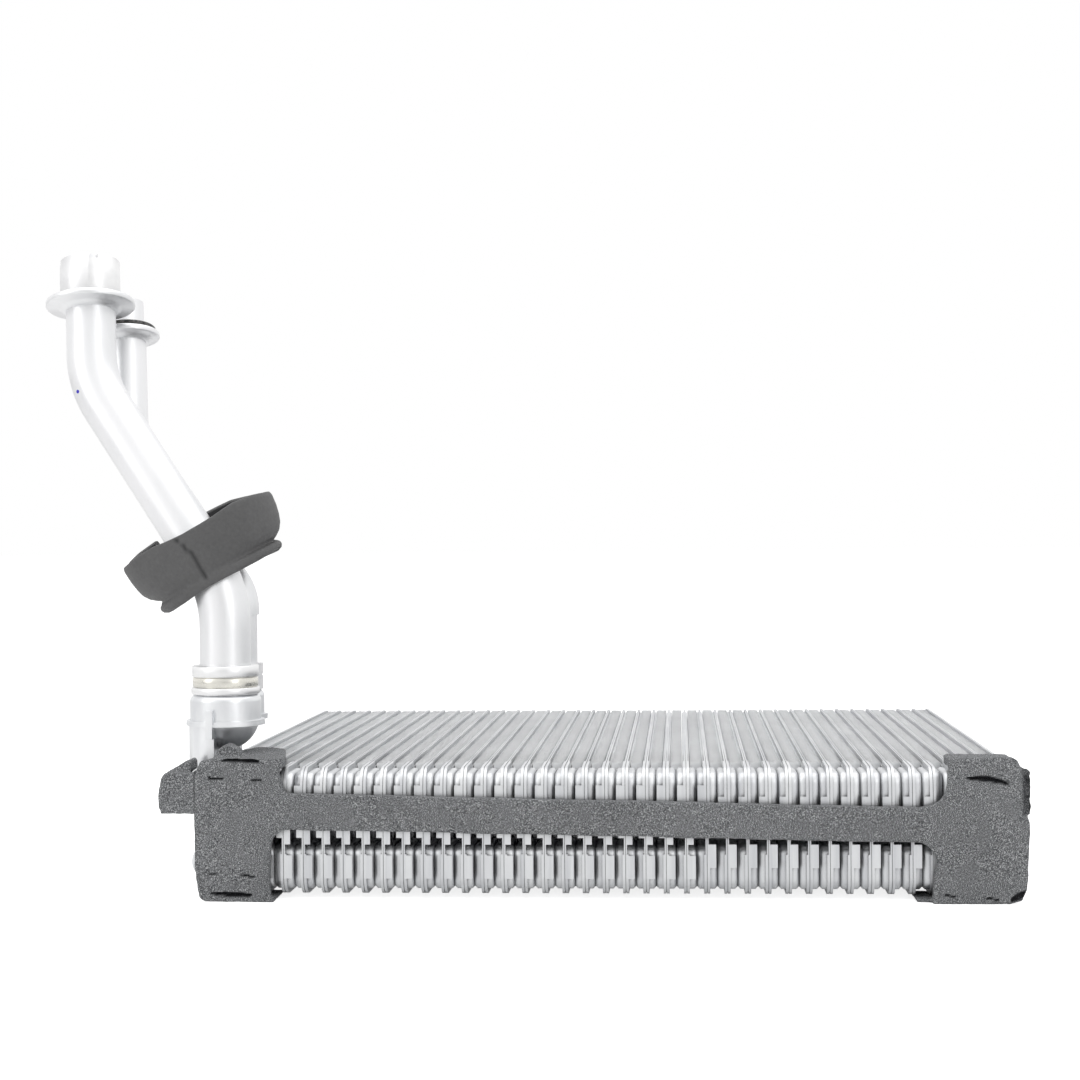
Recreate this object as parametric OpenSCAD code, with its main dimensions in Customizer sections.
// Evaporator core of a car air conditioner, lying on its lower air face.
// A brazed stack of flat tubes and folded fins, with two rows of drawn cups
// at the tank end, a side duct, two pipes, a foam grommet and foam seals.
// X runs across the stack, Y from the tank end to the turn end, Z is up.
// The origin is the middle of the lower air face.

/* [Core] */
// Number of flat tubes in the stack
tube_count = 39; // [9:1:41]
// Distance between neighbouring tubes
tube_pitch = 6.1; // [5.6:0.1:7]
// Length of the core, from the tank end to the turn end
core_height = 225; // [180:1:260]
// Depth of the core, through which the air flows
core_depth = 38.5; // [37:0.5:48]
// Thickness of the sheet that the tube plates are stamped from
sheet = 0.45; // [0.35:0.05:0.55]
// Corner radius of a tube plate
plate_r = 6; // [4:0.5:8]
// Height of the channel in one plate, outside
channel_h = 1.1; // [0.9:0.05:1.4]
// Width of the brazed edge of a plate
edge_w = 1.5; // [1.2:0.1:2.2]
// Thickness of the two end plates
end_sheet = 1; // [0.8:0.1:1.6]

/* [Tank cups] */
// Length of a drawn cup, along the tube
cup_len = 18; // [14:0.5:22]
// Width of a drawn cup, across the tube
cup_wide = 13.6; // [11:0.2:14.4]
// Corner radius of a cup
cup_r = 3.4; // [2.6:0.1:4.5]
// Distance of the cups from the front edge of the plates
cup_front = 1.5; // [0.8:0.1:2]
// Distance of the cups from the long edges of the plates
cup_side = 1.6; // [1.3:0.1:2]
// Size of the slanted edge where two cups meet
cup_edge = 0.8; // [0.6:0.1:1.4]
// Diameter of the port in each cup
port_d = 8.5; // [5:0.5:10]

/* [Tabs of the plates] */
// Width of the wide tab beside the front edge of a plate
band_w = 2.7; // [2:0.1:2.9]
// Length of the wide tab
band_len = 7; // [4:0.5:8]
// Height of the wide tab over the edge of the plate, left group
band_low = 5.2; // [4:0.1:6]
// Height of the wide tab over the edge of the plate, right group
band_high = 8.6; // [7:0.1:10]
// Width of the small tab
tab_w = 2.1; // [1.5:0.1:2.6]
// Number of tubes in the left group
left_group = 24; // [1:1:39]

/* [Fins] */
// Length of one fold of a fin, there and back
fin_fold = 11.3; // [9:0.1:20]
// Thickness of a fin's sheet, measured across the stack
fin_sheet = 0.3; // [0.2:0.05:0.5]
// Distance from the cups to the fins
fin_gap = 1.5; // [0.5:0.5:4]
// Distance of the fins below both air faces
fin_inset = 0.7; // [0.3:0.1:1.5]

/* [Side duct] */
// Thickness of the pressed duct and shell
duct_sheet = 1; // [0.8:0.1:1.4]
// Radius of the duct at the upper cups
upper_duct_r = 8.4; // [6:0.1:8.6]
// Radius of the duct at the lower cups
lower_duct_r = 5.4; // [4:0.1:6.4]
// Distance of the large socket from the tank end
large_socket_y = 21; // [18:0.5:24]
// Distance between the two sockets
socket_gap = 22; // [21:0.5:26]
// Distance of the sockets inboard of the seam
socket_in = 2.4; // [1.5:0.1:3]
// Height of the duct's top over the lower air face
duct_top = 51; // [48:0.5:56]

/* [Sockets] */
// Outer radius of the large cap
large_cap_r = 11.1; // [10.4:0.1:11.6]
// Outer radius of the small cap
small_cap_r = 7.8; // [7.6:0.1:8.4]
// Height of the caps
cap_h = 8.8; // [7:0.2:10]
// Thickness of the caps
cap_sheet = 0.9; // [0.7:0.1:1.2]
// Height of the lowest ring over the large cap
ring_h = 2.2; // [2:0.1:3]

/* [Pipes] */
// Outside diameter of the large pipe
large_d = 15.88; // [14:0.01:16.5]
// Outside diameter of the small pipe
small_d = 12.7; // [12:0.01:13.5]
// Wall thickness of both pipes
pipe_wall = 1; // [0.8:0.1:1.2]
// Bend radius of the large pipe
large_bend = 36; // [24:1:40]
// Bend radius of the small pipe
small_bend = 14; // [12:1:18]
// Diameter of the large pipe's flange
large_flange_d = 28.4; // [24:0.2:29]
// Diameter of the small pipe's flange
small_flange_d = 21.6; // [18:0.2:22]
// Length of the large pipe beyond its flange
large_end = 13.6; // [10:0.2:18]
// Length of the small pipe beyond its flange
small_end = 10.6; // [8:0.2:14]
// Diameter of the sleeve on the end of the large pipe
sleeve_d = 19.2; // [18.4:0.2:21]
// Diameter of the narrower end of the small pipe
small_nose_d = 11.6; // [11:0.1:12.1]

/* [Foam] */
// Thickness of the foam sheet
foam = 3; // [2:0.5:3.5]
// Depth to which the foam reaches below the core
foam_under = 1.5; // [1:0.1:2]
// Gap between the foam and the metal
foam_gap = 0.3; // [0.2:0.1:0.5]
// Length of the grommet
grommet_len = 53.4; // [50:0.2:60]
// Width of the grommet
grommet_wide = 48; // [46:1:49]
// Slope of the grommet
grommet_tilt = 28.2; // [22:0.1:32]

/* [Hidden] */
$fn = 48;
step = 0.01;

// The stack, worked out from the tubes
fin_h = tube_pitch - 2 * channel_h;
stack_half = (tube_count - 1) / 2 * tube_pitch;
end_inner = stack_half + channel_h + fin_h;
end_outer = end_inner + end_sheet;
tank_y = -core_height / 2;
tank_len = cup_front + cup_len + fin_gap;
channel_start = cup_front + cup_len - cup_r;
rib_w = 1.6;
foot_len = cup_front + cup_len + 0.5;
foot_wide = cup_wide - 1;
seam_w = 0.1;
seam_deep = 0.3;
turn_len = 18;
cup_rows = [cup_side, core_depth - cup_side - cup_wide];
cup_mid = cup_front + cup_len / 2;

// The tabs
tab_low = 15.5;
tab_len = 5.5;

// The side duct: its seam lies on the outside of the left end plate
seam_x = -end_outer;
socket_x = seam_x + socket_in;
small_socket_y = large_socket_y + socket_gap;
lower_row_z = cup_rows[0] + cup_wide / 2;
lower_duct_z = lower_row_z + 1;
upper_row_z = cup_rows[1] + cup_wide / 2;
large_rise_r = upper_duct_r + 0.7;
small_rise_r = lower_duct_r + 1.6;
large_bore_r = large_cap_r - 2.1;
small_bore_r = small_cap_r - 1.8;
bowl_r = large_cap_r - 0.5;
bowl_drop = 1.9;
small_bowl_r = small_cap_r - 0.2;
small_bowl_drop = 1.6;
rim_w = 1.2;
rim_t = 0.8;
duct_margin = 2;

// The sockets and the rings stand on each other
cap_top = duct_top + cap_h;
cap_round = 2.2;
fit_gap = 0.05;
ring_edge = 0.35;
ring_radii = [10.7, 10.2, 10.4];
ring_heights = [ring_h, ring_h + 1, ring_h + 1.4];
ring_bases = [cap_top, cap_top + ring_heights[0], cap_top + ring_heights[0] + ring_heights[1]];
crimp_h = 4.4;
crimp_len = 1.3;
collar_r = 7.5;
collar_h = 8.4;
stub_d = 11.4;
stub_top = duct_top + 32.8;
stub_spigot = 1.2;
pipe_inset = 2.5;
bend_swell = 0.03;
bend_onto = 0.5;

// Pipe corners: how far they lie up from the duct's top, out from the socket and along the core
large_rise = [41.3, 107.9, 134.6];
large_out = [45.5, 47.5];
large_along = [13.3, 19.3];
small_rise = [39, 92.7];
small_out = 39.1;
small_along = 12.2;
small_last = 34.8;
large_base = [socket_x, large_socket_y];
large_corner_1 = [socket_x, large_socket_y, duct_top + large_rise[0]];
large_corner_2 = [socket_x - large_out[0], large_socket_y + large_along[0], duct_top + large_rise[1]];
large_flange = [socket_x - large_out[1], large_socket_y + large_along[1], duct_top + large_rise[2]];
small_base = [socket_x, small_socket_y];
small_corner_1 = [socket_x, small_socket_y, duct_top + small_rise[0]];
small_corner_2 = [socket_x - small_out, small_socket_y + small_along, duct_top + small_rise[1]];
end_dir = unit(large_flange - large_corner_2);
small_flange = small_corner_2 + small_last * end_dir;
large_tip = large_flange + large_end * end_dir;
large_start = [socket_x, large_socket_y, cap_top - pipe_inset];
small_start = [socket_x, small_socket_y, stub_top];
large_path = [large_start, large_corner_1, large_corner_2, large_tip];
small_path = [small_start, small_corner_1, small_corner_2, small_flange];
flange_t = 2;
flange_cone = 1.6;
sleeve_slot_w = 2.8;
sleeve_slot_h = 1.8;
seal_d = 19;
seal_t = 1.8;
nose_start = seal_t + 0.2;

// The grommet stands round both pipes; the middle of its rim is given, and its section runs
// from the pocket over the rim to the lip, as distance inwards and height from the rim
grommet_mid = [socket_x - 11.9, large_socket_y + 13, duct_top + 60.2];
grommet_lean = 2.5;
grommet_floor = -5.5;
grommet_base = -18.4;
grommet_side = [[4.4, -5.5], [3, -4.6], [2.2, -0.6], [1.2, 0], [0.3, -0.4], [0, -1.6], [0.35, -5.1],
                [1, -8], [1.9, -10.5], [3.4, -12.6], [5.2, -13.9], [6.6, -14.6], [6.9, -15.2],
                [5.2, -15.9], [4.8, -16.8], [5.4, -17.8], [6.8, -18.4]];

// The foam seal: outlines from its lower outer corner, as distance inwards and height
foam_left = -end_outer - 2.3;
foam_right = end_outer + 3.6;
foam_base = -foam_under;
foam_top = core_depth + foam_gap + foam;
left_side = [[3, foam_base], [1.3, foam_base + 1.2], [0.6, foam_base + 4.4], [0, foam_base + 10],
             [0, foam_top - 5.3], [0.7, foam_top - 3.4], [1.9, foam_top - 0.7], [5, foam_top]];
left_inside = [[25.6, foam_top], [25.6, 38.6], [26.8, 33.2], [27.4, 31.8], [28.4, 31.2]];
left_window = [[28.7, 20.4], [26.7, 20.2], [25, 19.2], [23.6, 17.4], [23.1, 14.4], [22.6, 6],
               [23, foam_base + 0.7], [21.6, foam_base]];
right_side = [[6, foam_base], [2.6, foam_base + 1.2], [1.3, foam_base + 4], [0.6, foam_base + 8],
              [0, 22], [0.2, 23.6], [2.4, 24], [2.4, foam_top - 3], [3.4, foam_top - 1],
              [5, foam_top]];
right_inside = [[23.8, foam_top], [23.6, 38.6], [24.4, 31.6], [25.8, 29.2], [27.8, 27.8], [31.8, 27]];
right_window = [[32, 16.6], [29.6, 15.4], [27.8, 13.2], [27.2, 11], [28, 6.4], [28.7, foam_base]];
left_flap = [[5, 0], [27.1, 0], [27.1, 3], [22.1, 29], [11.7, 34.9], [8.5, 23.9], [4.5, 10], [4.5, 5]];
flap_right = 9;
side_flap = 16;
side_flap_back = 1.8;
flap_under = 14;
hump = [[5.2, 41], [5.6, 43.2], [6.8, 44.8], [8.6, 45.6], [10.2, 45.3], [12, 44.2], [13.2, 42.8],
        [13.6, 41]];
hump_front = 2;
hump_len = 6;
pad_side = [[foam_gap, 25.2], [10.2, 25.2], [11, 27], [11.2, 31], [10.4, 35.8], [9, 37.6]];
pad_top = [[2.8, 41], [1.8, 40.6], [1.8, 37.6]];
pad_len = 10;

tube_names = [for (i = [1 : tube_count]) str("tube_", i < 10 ? "0" : "", i)];

metal = [0.80, 0.81, 0.83];
pale_metal = [0.88, 0.89, 0.90];
foam_grey = [0.43, 0.44, 0.45];
seal_black = [0.10, 0.10, 0.11];

function unit(v) = v / norm(v);

// Helpers

// Moves a piece whose Y is measured from the tank end
module from_tank_end() {
    translate([0, tank_y, 0]) children();
}

// Turns a flat outline, drawn along Y and Z, so that it is extruded along X
module across(x) {
    translate([x, 0, 0]) rotate([90, 0, 90]) children();
}

// Rectangle with round corners
module round_rect(low, high, r) {
    translate([low[0] + r, low[1]]) square([high[0] - low[0] - 2 * r, high[1] - low[1]]);
    translate([low[0], low[1] + r]) square([high[0] - low[0], high[1] - low[1] - 2 * r]);
    for (x = [low[0] + r, high[0] - r])
        for (y = [low[1] + r, high[1] - r])
            translate([x, y]) circle(r);
}

module ring_outline(r, bore) {
    difference() {
        circle(r);
        if (bore > 0) circle(bore);
    }
}

// Directions, angles and lengths of a pipe that runs along four points, starting upwards
function dir(p, i) = unit(p[i + 1] - p[i]);
function turn(p, i) = acos(dir(p, i - 1) * dir(p, i));
function side(p, i) = unit(dir(p, i) - dir(p, i - 1) * cos(turn(p, i)));
function reach(p, i, bend) = i == 1 || i == 2 ? bend * tan(turn(p, i) / 2) : 0;
function stretch(p, i, bend) = norm(p[i + 1] - p[i]) - reach(p, i, bend) - reach(p, i + 1, bend);
function first_turn_to(p) = atan2(side(p, 1)[1], side(p, 1)[0]);
function second_turn_to(p) =
    let (z = dir(p, 1), x = side(p, 1) * cos(turn(p, 1)) - dir(p, 0) * sin(turn(p, 1)))
    atan2(side(p, 2) * cross(z, x), side(p, 2) * x);
function turn_to(p, i) = i == 1 ? first_turn_to(p) : second_turn_to(p);

// Place at the start of a straight stretch, counted from nought
module at_stretch(p, i, bend) {
    if (i == 0) translate(p[0]) children();
    else at_corner(p, i, bend) past_bend(turn(p, i), bend) children();
}

// Place at the start of a bend, with X towards the inside of the bend
module at_corner(p, i, bend) {
    at_stretch(p, i - 1, bend) translate([0, 0, stretch(p, i - 1, bend)])
        rotate([0, 0, turn_to(p, i)]) children();
}

module past_bend(angle, bend) {
    translate([bend, 0, 0]) rotate([0, angle, 0]) translate([-bend, 0, 0]) children();
}

// Bend of a pipe, which swells a little and runs a little onto the straights
module elbow(angle, bend, r, bore) {
    extra = asin(bend_onto / bend);
    translate([bend, 0, 0]) rotate([90, 0, 180]) rotate([0, 0, -extra])
        rotate_extrude(angle = angle + 2 * extra) translate([bend, 0])
            ring_outline(r + bend_swell, bore - bend_swell);
}

// Pipe along four points with two bends
module pipe_run(p, bend, r, bore) {
    for (i = [0 : 2]) at_stretch(p, i, bend)
        linear_extrude(stretch(p, i, bend)) ring_outline(r, bore);
    for (i = [1 : 2]) at_corner(p, i, bend) elbow(turn(p, i), bend, r, bore);
}

// Place on the axis at the flange of a pipe
module at_flange(p, bend, end_length) {
    at_stretch(p, 2, bend) translate([0, 0, stretch(p, 2, bend) - end_length]) children();
}

module at_small_flange() {
    at_flange(small_path, small_bend, 0) children();
}

// Tubes: two stamped plates, brazed edge to edge

module plate_outline(inset) {
    round_rect([inset, inset], [core_height - inset, core_depth - inset], plate_r - inset);
}

module cup_outline(inset, low) {
    round_rect([cup_front + inset, low + inset],
               [cup_front + cup_len - inset, low + cup_wide - inset], cup_r - inset);
}

// The brazed edge is thicker beside the cups
module foot_outline() {
    intersection() {
        plate_outline(0);
        for (y = [0, core_depth - foot_wide]) translate([0, y]) square([foot_len, foot_wide]);
    }
}

// Drawn cup whose end has a slanted edge, so that a groove shows between two cups
module cup(low) {
    top = tube_pitch / 2;
    near = [cup_front, low];
    far = [cup_front + cup_len, low + cup_wide];
    linear_extrude(top - cup_edge) cup_outline(0, low);
    translate([0, 0, top - cup_edge]) {
        for (x = [near[0] + cup_r, far[0] - cup_r])
            for (y = [near[1] + cup_r, far[1] - cup_r])
                translate([x, y]) cylinder(r1 = cup_r, r2 = cup_r - cup_edge, h = cup_edge);
        translate([near[0] + cup_r, 0, 0]) rotate([90, 0, 90])
            linear_extrude(cup_len - 2 * cup_r) slanted(near[1], far[1]);
        translate([0, far[1] - cup_r, 0]) rotate([90, 0, 0])
            linear_extrude(cup_wide - 2 * cup_r) slanted(near[0], far[0]);
    }
}

module slanted(low, high) {
    polygon([[low, 0], [high, 0], [high - cup_edge, cup_edge], [low + cup_edge, cup_edge]]);
}

// Two channels along the plate that join at the turn end
module channel_outline(inset) {
    far = core_height - edge_w;
    difference() {
        translate([channel_start + inset, edge_w + inset])
            square([far - channel_start - 2 * inset, core_depth - 2 * edge_w - 2 * inset]);
        translate([channel_start, core_depth / 2 - rib_w / 2 - inset])
            square([far - turn_len - channel_start + inset, rib_w + 2 * inset]);
    }
}

// Thin groove that shows between the edges of the two plates
module seam_groove() {
    translate([0, 0, -1]) linear_extrude(1 + seam_w) difference() {
        translate([-1, -1]) square([core_height + 2, core_depth + 2]);
        plate_outline(seam_deep);
    }
}

module plate(low_band) {
    difference() {
        union() {
            linear_extrude(sheet) plate_outline(0);
            linear_extrude(2 * sheet) foot_outline();
            linear_extrude(channel_h) channel_outline(0);
            for (low = cup_rows) cup(low);
            translate([0, low_band ? band_low : band_high, 0]) cube([sheet, band_len, band_w]);
            if (low_band) translate([0, tab_low, 0]) cube([sheet, tab_len, tab_w]);
        }
        translate([0, 0, -1]) linear_extrude(channel_h - sheet + 1) channel_outline(sheet);
        for (low = cup_rows) {
            translate([0, 0, -1]) linear_extrude(tube_pitch / 2 - sheet + 1)
                cup_outline(max(cup_edge, sheet), low);
            translate([cup_mid, low + cup_wide / 2, 0]) cylinder(d = port_d, h = tube_pitch);
        }
        seam_groove();
    }
}

// One tube: the second plate is the first one turned over
module tube(i) {
    x = (i - (tube_count + 1) / 2) * tube_pitch;
    color(metal) from_tank_end() {
        across(x) plate(i <= left_group);
        translate([x, 0, core_depth]) rotate([0, 180, 0]) across(0) plate(i <= left_group + 1);
    }
}

// Fins: one folded strip in each gap of the stack

function fin_points(folds, half) = concat(
    [for (i = [0 : folds]) [i % 2 == 0 ? 0 : fin_h - fin_sheet, i * half]],
    [for (i = [folds : -1 : 0]) [i % 2 == 0 ? fin_sheet : fin_h, i * half]]);

module fins() {
    room = core_height - edge_w - tank_len;
    folds = 2 * floor(room / fin_fold);
    half = room / folds;
    color(pale_metal) from_tank_end()
        for (i = [0 : tube_count])
            translate([-end_inner + i * tube_pitch, tank_len, fin_inset])
                linear_extrude(core_depth - 2 * fin_inset) polygon(fin_points(folds, half));
}

// End plates with drawn pads that reach the cups of the outer tubes

module end_plate(port) {
    reach = end_inner - stack_half - tube_pitch / 2;
    difference() {
        union() {
            linear_extrude(end_sheet) plate_outline(0);
            for (low = cup_rows) translate([0, 0, -reach]) linear_extrude(reach + step)
                cup_outline(cup_edge, low);
        }
        for (low = cup_rows) {
            translate([0, 0, end_sheet - reach]) linear_extrude(reach + end_sheet)
                cup_outline(cup_edge + end_sheet, low);
            if (port) translate([cup_mid, low + cup_wide / 2, -2 * reach])
                cylinder(d = port_d, h = 3 * reach);
        }
    }
}

module end_plate_right() {
    color(metal) from_tank_end() across(end_inner) end_plate(false);
}

module end_plate_left() {
    color(metal) from_tank_end() mirror([1, 0, 0]) across(end_inner) end_plate(true);
}

// Side duct: an outer pressing on the left end plate, and an inner shell over the core

module duct_flange_outline() {
    round_rect([0.5, 0.6], [small_socket_y + small_rise_r + duct_margin, core_depth - 0.6], plate_r - 1);
    translate([large_socket_y - large_rise_r - duct_margin, core_depth / 2])
        square([socket_gap + large_rise_r + small_rise_r + 2 * duct_margin, duct_top - core_depth / 2]);
}

// Inside or outside of both runs, thinner by inset
module duct_runs(inset) {
    front = cup_front + 0.3;
    run(front + upper_duct_r, large_socket_y, upper_row_z, upper_duct_r - inset,
        large_rise_r - inset);
    run(front + lower_duct_r, small_socket_y, lower_duct_z, lower_duct_r - inset,
        small_rise_r - inset);
}

// Run of one duct along the cups and up to its socket
module run(y0, y1, z, r, rise_r) {
    foot = z + (rise_r - r) / 2;
    translate([seam_x, y0, z]) rotate([-90, 0, 0]) domed_rod(r, y1 - y0);
    translate([seam_x, y1, foot]) domed_rod(rise_r, duct_top - foot);
}

module domed_rod(r, length) {
    rotate_extrude() intersection() {
        union() {
            circle(r);
            square([r, length]);
        }
        translate([0, -r]) square([r, length + r]);
    }
}

// Upright nib at the front of a pressing's seam, in front of the large cap
module seam_nib(x) {
    back = large_socket_y - large_rise_r - duct_margin;
    front = large_socket_y - large_cap_r - rim_w - crimp_len;
    translate([x, front, duct_top - crimp_h]) cube([duct_sheet, back - front + step, crimp_h]);
    translate([x, front, duct_top - step]) cube([duct_sheet, crimp_len, crimp_h + step]);
}

module socket_rims() {
    translate([0, 0, duct_top - rim_t]) {
        translate([socket_x, large_socket_y, 0]) cylinder(r = large_cap_r + rim_w, h = rim_t);
        translate([socket_x, small_socket_y, 0]) cylinder(r = small_cap_r + rim_w - 0.2, h = rim_t);
    }
}

module socket_bores(depth) {
    translate([0, 0, duct_top - depth]) {
        translate([socket_x, large_socket_y, 0]) cylinder(r = large_bore_r, h = depth + 1);
        translate([socket_x, small_socket_y, 0]) cylinder(r = small_bore_r, h = depth + 1);
    }
}

module side_duct() {
    color(pale_metal) from_tank_end() difference() {
        union() {
            across(seam_x - duct_sheet) linear_extrude(duct_sheet) duct_flange_outline();
            duct_runs(0);
            socket_rims();
            seam_nib(seam_x - duct_sheet);
        }
        translate([seam_x, -core_depth, -core_depth]) cube([2 * duct_top, core_height, 3 * duct_top]);
        duct_runs(duct_sheet);
        socket_bores(2);
    }
}

module bowl(y, r, drop, inset) {
    translate([socket_x, y, duct_top + drop]) sphere(r - inset);
}

module duct_inner_shell() {
    top_y = large_socket_y - large_rise_r - duct_margin;
    color(pale_metal) from_tank_end() {
        seam_nib(seam_x);
        difference() {
            union() {
                translate([seam_x, top_y, core_depth + foam_gap])
                    cube([duct_sheet, socket_gap + large_rise_r + small_rise_r + 2 * duct_margin,
                          duct_top - core_depth - foam_gap]);
                bowl(large_socket_y, bowl_r, bowl_drop, 0);
                bowl(small_socket_y, small_bowl_r, small_bowl_drop, 0);
                socket_rims();
            }
            bowl(large_socket_y, bowl_r, bowl_drop, duct_sheet);
            bowl(small_socket_y, small_bowl_r, small_bowl_drop, duct_sheet);
            translate([seam_x - duct_top, -core_depth, 0]) cube([duct_top, core_height, 3 * duct_top]);
            translate([seam_x - 1, -core_depth, duct_top]) cube([2 * duct_top, core_height, duct_top]);
            socket_bores(1);
        }
    }
}

// Drawn caps, rings and pipes over the sockets

module cap(r, bore) {
    rotate_extrude() difference() {
        union() {
            square([r + rim_w - 0.1, rim_t]);
            square([r, cap_h - cap_round]);
            square([r - cap_round, cap_h]);
            translate([r - cap_round, cap_h - cap_round]) circle(cap_round);
        }
        translate([0, -step]) square([r - cap_sheet, cap_h - cap_sheet - cap_round + step]);
        translate([0, -step]) square([r - cap_round, cap_h - cap_sheet + step]);
        square([bore, 2 * cap_h]);
    }
}

module large_socket_cap() {
    color(pale_metal) from_tank_end() translate([large_base[0], large_base[1], duct_top])
        cap(large_cap_r, large_d / 2 + fit_gap);
}

module small_socket_cap() {
    color(pale_metal) from_tank_end() translate([small_base[0], small_base[1], duct_top])
        cap(small_cap_r, stub_d / 2 + fit_gap);
}

// Turned ring with slightly broken edges
module turned_ring(r, bore, h) {
    rotate_extrude() polygon([[bore, 0], [r - ring_edge, 0], [r, ring_edge],
                              [r, h - ring_edge], [r - ring_edge, h], [bore, h]]);
}

module large_ring(i) {
    color(pale_metal) from_tank_end()
        translate([large_base[0], large_base[1], ring_bases[i]])
            turned_ring(ring_radii[i], large_d / 2 + fit_gap, ring_heights[i]);
}

module small_collar() {
    color(pale_metal) from_tank_end() translate([small_base[0], small_base[1], cap_top]) {
        rotate_extrude() difference() {
            translate([stub_d / 2 + fit_gap, 0])
                square([collar_r - stub_d / 2 - fit_gap, collar_h]);
            translate([collar_r - ring_edge, collar_h / 2]) square([2 * ring_edge, 2 * ring_edge]);
        }
    }
}

// Short thin pipe in the small socket; the small pipe is pushed over its spigot
module small_stub() {
    bore = stub_d / 2 - 2 * pipe_wall + 0.3;
    color(metal) from_tank_end() translate([small_base[0], small_base[1], 0])
        rotate_extrude() difference() {
            union() {
                translate([0, cap_top - pipe_inset])
                    square([stub_d / 2, stub_top - cap_top + pipe_inset]);
                square([small_d / 2 - pipe_wall - fit_gap, stub_top + stub_spigot]);
            }
            square([bore, 2 * stub_top]);
            square([stub_d, cap_top - pipe_inset]);
        }
}

// Flange that is formed on a pipe, with a cone towards the bend
module pipe_flange(r, bore) {
    rotate_extrude() polygon([[bore, -flange_t - flange_cone], [bore + 1.2, -flange_t - flange_cone],
                              [bore + 3, -flange_t], [r - ring_edge, -flange_t], [r, ring_edge - flange_t],
                              [r, -ring_edge], [r - ring_edge, 0], [bore, 0]]);
}

module large_pipe() {
    r = large_d / 2;
    color(pale_metal) from_tank_end() {
        pipe_run(large_path, large_bend, r, r - pipe_wall);
        at_flange(large_path, large_bend, large_end) pipe_flange(large_flange_d / 2, r - pipe_wall / 2);
    }
}

module small_pipe() {
    r = small_d / 2;
    color(pale_metal) from_tank_end() {
        pipe_run(small_path, small_bend, r, r - pipe_wall);
        at_small_flange() pipe_flange(small_flange_d / 2, r - pipe_wall / 2);
        at_small_flange() narrow_end(r, small_nose_d / 2);
    }
}

// End of the small pipe: it keeps its size inside the seal, and is drawn in beyond it
module narrow_end(r, nose_r) {
    bore = r - pipe_wall;
    nose_bore = nose_r - pipe_wall;
    rotate_extrude() polygon([[bore, -step], [r, -step], [r, nose_start], [nose_r, nose_start],
                              [nose_r, small_end], [nose_bore, small_end],
                              [nose_bore, nose_start - pipe_wall], [bore, nose_start - pipe_wall]]);
}

// Sleeve on the end of the large pipe, with slots in its rim
module large_pipe_sleeve() {
    color(pale_metal) from_tank_end() at_flange(large_path, large_bend, large_end) difference() {
        turned_ring(sleeve_d / 2, large_d / 2 + fit_gap, large_end);
        for (a = [0 : 90 : 270]) rotate(a + 20)
            translate([0, -sleeve_slot_w / 2, large_end - sleeve_slot_h])
                cube([sleeve_d, sleeve_slot_w, 2 * sleeve_slot_h]);
    }
}

module small_pipe_seal() {
    color(seal_black) from_tank_end() at_small_flange()
        turned_ring(seal_d / 2, small_d / 2 + fit_gap, seal_t);
}

// Foam grommet round both pipes: one section, turned at both ends and straight between them

function grommet_section() = concat([[0, grommet_floor]],
    [for (q = grommet_side) [grommet_wide / 2 - q[0], q[1]]], [[0, grommet_base]]);

module grommet_body() {
    half = (grommet_len - grommet_wide) / 2;
    section = grommet_section();
    last = len(section) - 1;
    for (a = [-90, 90]) rotate(a) translate([0, half, 0])
        rotate_extrude(angle = 180) polygon(section);
    translate([-half, 0, 0]) rotate([90, 0, 90]) linear_extrude(2 * half)
        polygon(concat(section, [for (i = [last - 1 : -1 : 1]) [-section[i][0], section[i][1]]]));
}

module pipe_grommet() {
    color(foam_grey) from_tank_end() difference() {
        translate(grommet_mid) rotate([grommet_lean, -grommet_tilt, 0]) grommet_body();
        pipe_run(large_path, large_bend, large_d / 2 + foam_gap, 0);
        pipe_run(small_path, small_bend, small_d / 2 + foam_gap, 0);
    }
}

// Foam seal round the tank end: two blocks joined by a strip between the rows of cups

module facing(y, thickness) {
    translate([0, y + thickness, 0]) rotate([90, 0, 0]) linear_extrude(thickness) children();
}

function from_left(points) = [for (q = points) [foam_left + q[0], q[1]]];
function from_right(points) = [for (q = points) [foam_right - q[0], q[1]]];
function backwards(points) = [for (i = [len(points) - 1 : -1 : 0]) points[i]];

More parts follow.
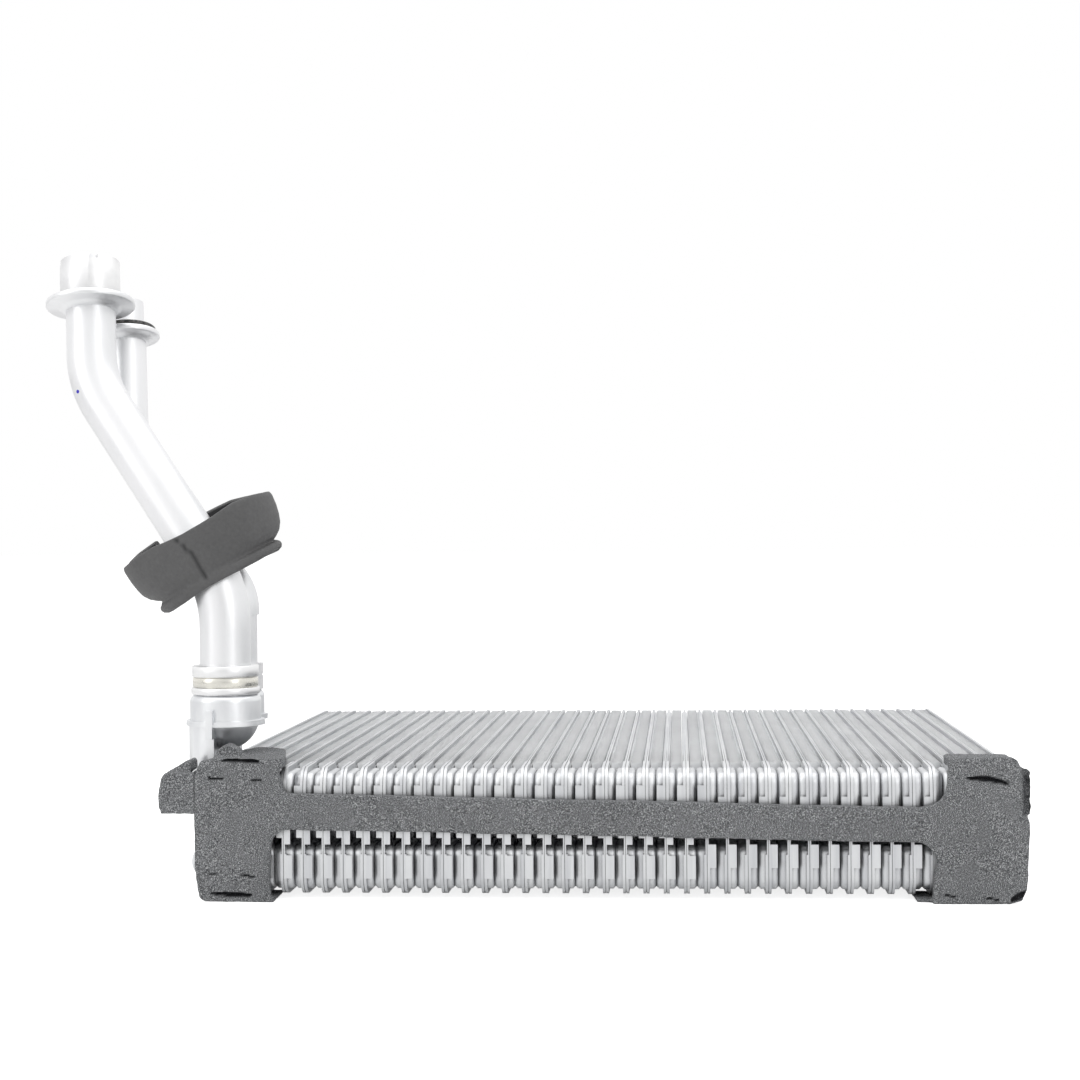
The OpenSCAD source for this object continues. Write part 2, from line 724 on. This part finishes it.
module seal_outline() {
    polygon(concat(from_left(left_side), from_left(left_inside), backwards(from_right(right_inside)),
                   backwards(from_right(right_side)), backwards(from_right(right_window)),
                   from_left(left_window)));
}

module foam_wrap() {
    front = -foam_gap - foam;
    under = foam_under - foam_gap;
    side = end_outer + foam_gap;
    right_inner = foam_right - right_inside[0][0];
    right_low = foam_right - right_window[5][0];
    color(foam_grey) from_tank_end() {
        facing(front, foam) seal_outline();
        translate([0, 0, core_depth + foam_gap]) linear_extrude(foam)
            polygon([for (q = left_flap) [foam_left + q[0], q[1] == 0 ? front + step : q[1]]]);
        facing(hump_front, hump_len) polygon(from_left(hump));
        translate([right_inner, front, core_depth + foam_gap])
            cube([foam_right - 5 - right_inner, flap_right - front, foam]);
        translate([side, front + side_flap_back, foam_base + 8])
            cube([foam, side_flap - front - side_flap_back, foam_top - foam_base - 12]);
        translate([foam_left + 4, front, foam_base])
            cube([left_window[4][0] - 3, flap_under - front, under]);
        translate([right_low - 4.5, front + foam, foam_base])
            cube([foam_right - right_low - 1, flap_under - front - foam, under]);
        translate([right_low, front, foam_base]) cube([foam_right - right_low - 6, foam + 1, under]);
    }
}

// Foam pad folded round the front of the side duct
module foam_pad() {
    front = -foam_gap - foam;
    color(foam_grey) from_tank_end() {
        facing(front, foam)
            polygon([for (q = concat(pad_side, [[foam_gap, pad_side[5][1]]])) [foam_left - q[0], q[1]]]);
        facing(front + foam - step, pad_len + foam_gap + step) difference() {
            polygon([for (q = concat(pad_side, pad_top)) [foam_left - q[0], q[1]]]);
            translate([seam_x, upper_row_z]) circle(upper_duct_r + foam_gap);
        }
    }
}

for (i = [1 : tube_count]) tube(i);
fins();
end_plate_left();
end_plate_right();
side_duct();
duct_inner_shell();
large_socket_cap();
small_socket_cap();
large_ring(0);  // large_lower_ring
large_ring(1);  // large_middle_ring
large_ring(2);  // large_upper_ring
small_collar();
small_stub();
large_pipe();
small_pipe();
large_pipe_sleeve();
small_pipe_seal();
pipe_grommet();
foam_wrap();
foam_pad();
